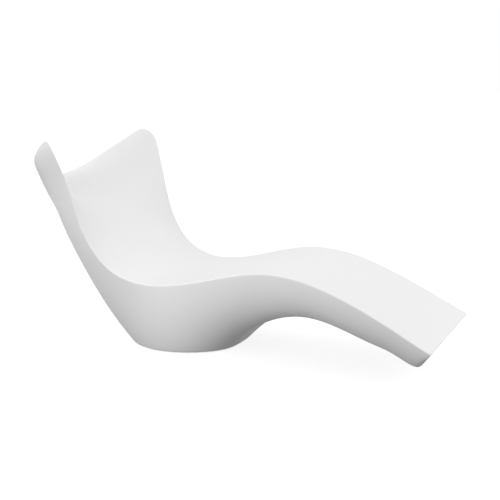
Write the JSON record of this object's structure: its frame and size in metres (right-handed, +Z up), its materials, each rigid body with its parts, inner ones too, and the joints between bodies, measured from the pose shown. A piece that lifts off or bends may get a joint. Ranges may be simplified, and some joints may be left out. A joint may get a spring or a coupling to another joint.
{
  "type": "relaxation lounger",
  "caption": "One-piece moulded relaxation lounger with a deep winged back, a level seat over a trunk base and a free-reaching leg rest.",
  "frame": {"origin": "on the floor under the middle of the overall box", "axes": "+X from the head to the foot, +Y across the shell, +Z up"},
  "size_m": [1.908, 0.8206, 0.9059],
  "materials": {
    "shell_plastic": "satin matte white, as moulded",
    "pad_rubber": "matte dark rubber",
    "insert_brass": "turned brass",
    "fixing_steel": "plain stainless",
    "plug_plastic": "matte light grey",
    "seal_rubber": "matte dark rubber"
  },
  "bodies": {
    "root": {"body_shell": "shell_plastic", "glide_pad_1": "pad_rubber", "glide_insert_1": "insert_brass", "glide_washer_1": "fixing_steel", "glide_screw_1": "fixing_steel", "glide_pad_2": "pad_rubber", "glide_insert_2": "insert_brass", "glide_washer_2": "fixing_steel", "glide_screw_2": "fixing_steel", "glide_pad_3": "pad_rubber", "glide_insert_3": "insert_brass", "glide_washer_3": "fixing_steel", "glide_screw_3": "fixing_steel", "glide_pad_4": "pad_rubber", "glide_insert_4": "insert_brass", "glide_washer_4": "fixing_steel", "glide_screw_4": "fixing_steel", "vent_plug": "plug_plastic", "vent_seal": "seal_rubber"}
  },
  "joints": []
}
